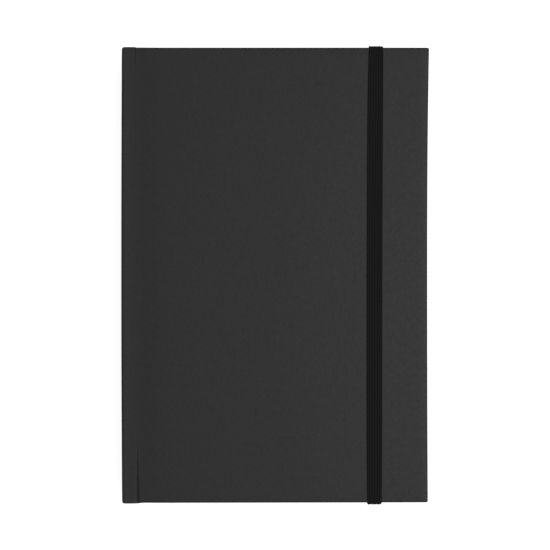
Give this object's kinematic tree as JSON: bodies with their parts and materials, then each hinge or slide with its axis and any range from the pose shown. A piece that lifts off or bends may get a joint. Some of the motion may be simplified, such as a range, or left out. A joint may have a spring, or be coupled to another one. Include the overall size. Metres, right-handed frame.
{
  "type": "sketchbook",
  "caption": "Hardcover sketchbook, case-bound with sewn signatures and an elastic band that holds it shut; covers, flyleaf and first leaves turn.",
  "frame": {"origin": "middle of the underside of the closed book, which lies on its back cover", "axes": "+X from the spine to the fore-edge, +Y from tail to head, +Z from the back cover to the front cover"},
  "size_m": [0.1492, 0.2236, 0.0218],
  "materials": {
    "cover_cloth": "fine-grained matt imitation leather",
    "board": "grey binder's board",
    "endpaper": "uncoated off-white",
    "drawing_paper": "uncoated, slight tooth",
    "elastic": "ribbed woven elastic",
    "mull": "open cotton weave, glued",
    "lining": "kraft paper",
    "headband": "plain off-white bead",
    "thread": "linen thread"
  },
  "bodies": {
    "text_block": {"signature_02": "drawing_paper", "signature_03": "drawing_paper", "signature_04": "drawing_paper", "signature_05": "drawing_paper", "signature_06": "drawing_paper", "signature_07": "drawing_paper", "signature_08": "drawing_paper", "signature_09": "drawing_paper", "signature_10": "drawing_paper", "signature_11": "drawing_paper", "signature_12": "drawing_paper", "signature_01_fold": "drawing_paper", "back_flyleaf": "endpaper", "sewing_threads": "thread", "mull": "mull", "spine_lining": "lining", "headband": "headband", "tailband": "headband", "spine_board": "board", "spine_cloth": "cover_cloth"},
    "front_joint": {"front_joint_cloth": "cover_cloth", "front_endpaper_fold": "endpaper", "signature_01_gutter": "drawing_paper"},
    "front_cover": {"front_board": "board", "front_cover_cloth": "cover_cloth", "front_pastedown": "endpaper", "front_mull_flange": "mull"},
    "front_leaf": {"front_flyleaf": "endpaper"},
    "first_signature": {"signature_01": "drawing_paper"},
    "back_joint": {"back_joint_cloth": "cover_cloth", "back_endpaper_joint": "endpaper"},
    "back_cover": {"back_board": "board", "back_cover_cloth": "cover_cloth", "back_pastedown": "endpaper", "back_mull_flange": "mull", "band_head_tab": "elastic", "band_tail_tab": "elastic"},
    "band_sides": {"band_head_arm": "elastic", "band_tail_arm": "elastic"},
    "band_front": {"band_front_strip": "elastic"}
  },
  "joints": [
    {"name": "front_cover_hinge", "type": "hinge", "parent": "text_block", "child": "front_joint", "pos_m": [-0.0726, 0, 0.0181], "axis": [0, -1, 0], "range_deg": [0, 70.32], "deforming": ["front_joint_cloth"]},
    {"name": "front_crease_hinge", "type": "hinge", "parent": "front_joint", "child": "front_cover", "pos_m": [-0.0679, 0, 0.0195], "axis": [0, -1, 0], "range_deg": [0, 117.2]},
    {"name": "front_flyleaf_hinge", "type": "hinge", "parent": "front_joint", "child": "front_leaf", "pos_m": [-0.0679, 0, 0.0195], "axis": [0, -1, 0], "range_deg": [0, 116.79]},
    {"name": "first_signature_hinge", "type": "hinge", "parent": "front_joint", "child": "first_signature", "pos_m": [-0.0679, 0, 0.0195], "axis": [0, -1, 0], "range_deg": [0, 116.19]},
    {"name": "back_cover_hinge", "type": "hinge", "parent": "text_block", "child": "back_joint", "pos_m": [-0.0726, 0, 0.0029], "axis": [0, 1, 0], "range_deg": [0, 67.88], "deforming": ["back_joint_cloth"]},
    {"name": "back_crease_hinge", "type": "hinge", "parent": "back_joint", "child": "back_cover", "pos_m": [-0.0679, 0, 0.0015], "axis": [0, 1, 0], "range_deg": [0, 113.12]},
    {"name": "band_flip", "type": "hinge", "parent": "back_cover", "child": "band_sides", "pos_m": [0.0489, 0, 0.0023], "axis": [0, 1, 0], "range_deg": [0, 180], "deforming": ["band_head_arm", "band_tail_arm", "band_front_strip"]},
    {"name": "band_take_up", "type": "slide", "parent": "band_sides", "child": "band_front", "axis": [0, 0, -1], "range_m": [0, 0.0164]}
  ],
  "couplings": [
    {"joint": "front_crease_hinge", "follows": "front_cover_hinge", "ratio": 1.6666},
    {"joint": "front_flyleaf_hinge", "follows": "front_cover_hinge", "ratio": 1.6607},
    {"joint": "first_signature_hinge", "follows": "front_cover_hinge", "ratio": 1.6522},
    {"joint": "band_flip", "follows": "front_cover_hinge", "ratio": 2.5597},
    {"joint": "band_take_up", "follows": "front_cover_hinge", "m_per_rad": 0.013362},
    {"joint": "back_crease_hinge", "follows": "back_cover_hinge", "ratio": 1.6666}
  ]
}
